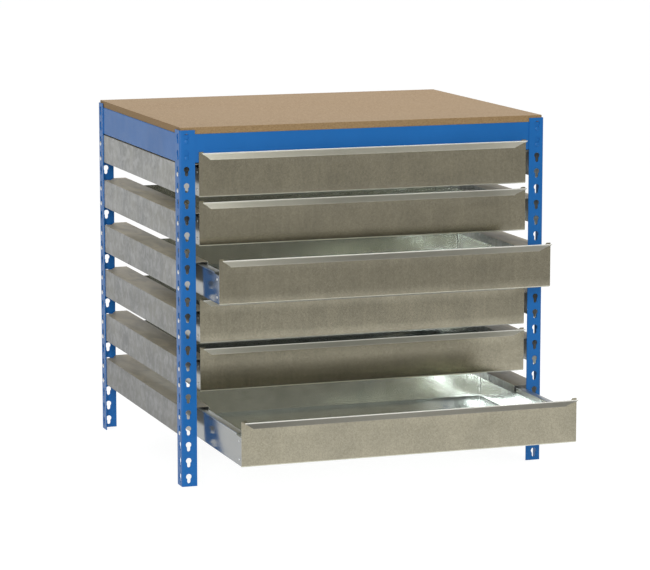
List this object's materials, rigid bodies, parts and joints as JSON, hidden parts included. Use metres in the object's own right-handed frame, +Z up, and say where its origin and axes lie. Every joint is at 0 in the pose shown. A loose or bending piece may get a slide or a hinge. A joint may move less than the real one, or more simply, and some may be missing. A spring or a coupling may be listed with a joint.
{
  "type": "workbench",
  "caption": "Boltless steel workbench with perforated angle uprights, a board top and shallow galvanised drawers that slide out on side rails.",
  "frame": {"origin": "on the floor, at the centre of the rectangle of the four uprights", "axes": "+Z up, -Y towards the drawers' fronts, +X to the right of someone who faces the drawers"},
  "size_m": [0.914, 1.057, 0.8445],
  "materials": {
    "blue_paint": "satin powder coat",
    "galvanised_steel": "hot-dip galvanised sheet, soft spangle",
    "zinc_steel": "bright zinc plate",
    "board": "plain pressed board, matt"
  },
  "bodies": {
    "frame": {"upright_front_left": "blue_paint", "upright_front_right": "blue_paint", "upright_rear_left": "blue_paint", "upright_rear_right": "blue_paint", "beam_front": "blue_paint", "beam_rear": "blue_paint", "beam_left": "blue_paint", "beam_right": "blue_paint", "beam_rivets": "blue_paint", "worktop": "board", "rail_left_1": "galvanised_steel", "rail_right_1": "galvanised_steel", "rail_left_2": "galvanised_steel", "rail_right_2": "galvanised_steel", "rail_left_3": "galvanised_steel", "rail_right_3": "galvanised_steel", "rail_left_4": "galvanised_steel", "rail_right_4": "galvanised_steel", "rail_left_5": "galvanised_steel", "rail_right_5": "galvanised_steel", "rail_left_6": "galvanised_steel", "rail_right_6": "galvanised_steel", "rail_studs": "zinc_steel", "drawer_stops": "zinc_steel"},
    "drawer_1": {"drawer_tray_1": "galvanised_steel", "drawer_front_1": "galvanised_steel", "drawer_rivets_1": "zinc_steel"},
    "drawer_2": {"drawer_tray_2": "galvanised_steel", "drawer_front_2": "galvanised_steel", "drawer_rivets_2": "zinc_steel"},
    "drawer_3": {"drawer_tray_3": "galvanised_steel", "drawer_front_3": "galvanised_steel", "drawer_rivets_3": "zinc_steel"},
    "drawer_4": {"drawer_tray_4": "galvanised_steel", "drawer_front_4": "galvanised_steel", "drawer_rivets_4": "zinc_steel"},
    "drawer_5": {"drawer_tray_5": "galvanised_steel", "drawer_front_5": "galvanised_steel", "drawer_rivets_5": "zinc_steel"},
    "drawer_6": {"drawer_tray_6": "galvanised_steel", "drawer_front_6": "galvanised_steel", "drawer_rivets_6": "zinc_steel"}
  },
  "joints": [
    {"name": "drawer_slide_1", "type": "slide", "parent": "frame", "child": "drawer_1", "axis": [0, -1, 0], "range_m": [0, 0.422]},
    {"name": "drawer_slide_2", "type": "slide", "parent": "frame", "child": "drawer_2", "axis": [0, -1, 0], "range_m": [0, 0.422]},
    {"name": "drawer_slide_3", "type": "slide", "parent": "frame", "child": "drawer_3", "axis": [0, -1, 0], "range_m": [-0.1535, 0.2685]},
    {"name": "drawer_slide_4", "type": "slide", "parent": "frame", "child": "drawer_4", "axis": [0, -1, 0], "range_m": [0, 0.422]},
    {"name": "drawer_slide_5", "type": "slide", "parent": "frame", "child": "drawer_5", "axis": [0, -1, 0], "range_m": [0, 0.422]},
    {"name": "drawer_slide_6", "type": "slide", "parent": "frame", "child": "drawer_6", "axis": [0, -1, 0], "range_m": [-0.3145, 0.1075]}
  ]
}
